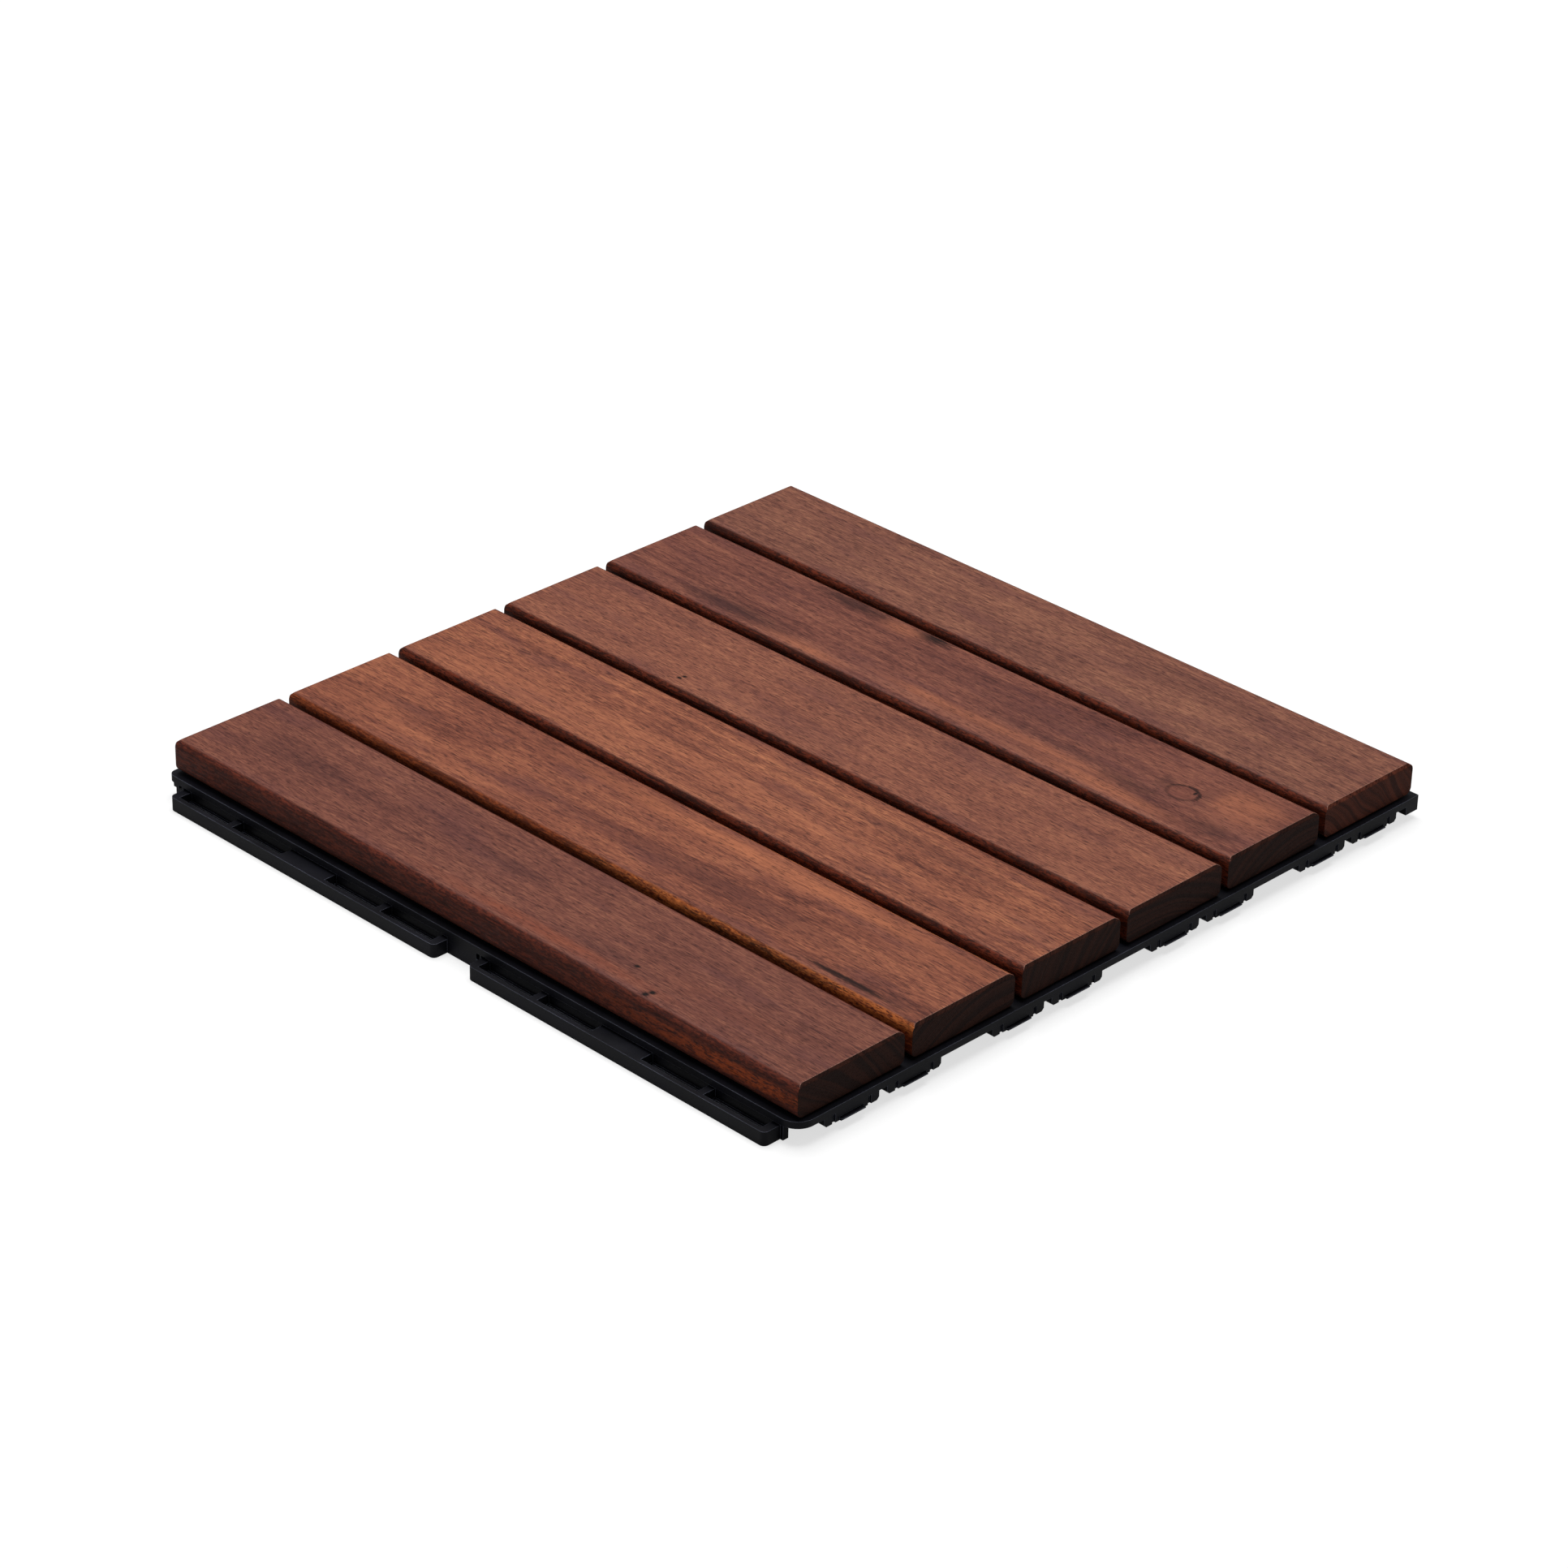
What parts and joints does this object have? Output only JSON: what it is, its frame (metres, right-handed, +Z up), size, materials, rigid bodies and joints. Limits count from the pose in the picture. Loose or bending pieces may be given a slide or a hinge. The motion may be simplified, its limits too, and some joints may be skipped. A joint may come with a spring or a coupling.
{
  "type": "interlocking deck tile",
  "caption": "Square interlocking deck tile: oiled hardwood slats screwed to a black moulded plastic base with snap blocks on two sides and slotted ladders on the others",
  "frame": {"origin": "middle of the tile module on the ground, at the foot below the middle of the deck", "axes": "+X along the slats, towards the side with snap blocks; +Y across the slats, towards the other side with snap blocks; +Z up"},
  "size_m": [0.311, 0.311, 0.0215],
  "materials": {
    "hardwood": "satin oiled",
    "base_plastic": "moulded, semi-matt",
    "screw_steel": "zinc plated"
  },
  "bodies": {
    "root": {"slat_1": "hardwood", "slat_2": "hardwood", "slat_3": "hardwood", "slat_4": "hardwood", "slat_5": "hardwood", "slat_6": "hardwood", "base_grid": "base_plastic", "slat_screws": "screw_steel"}
  },
  "joints": []
}
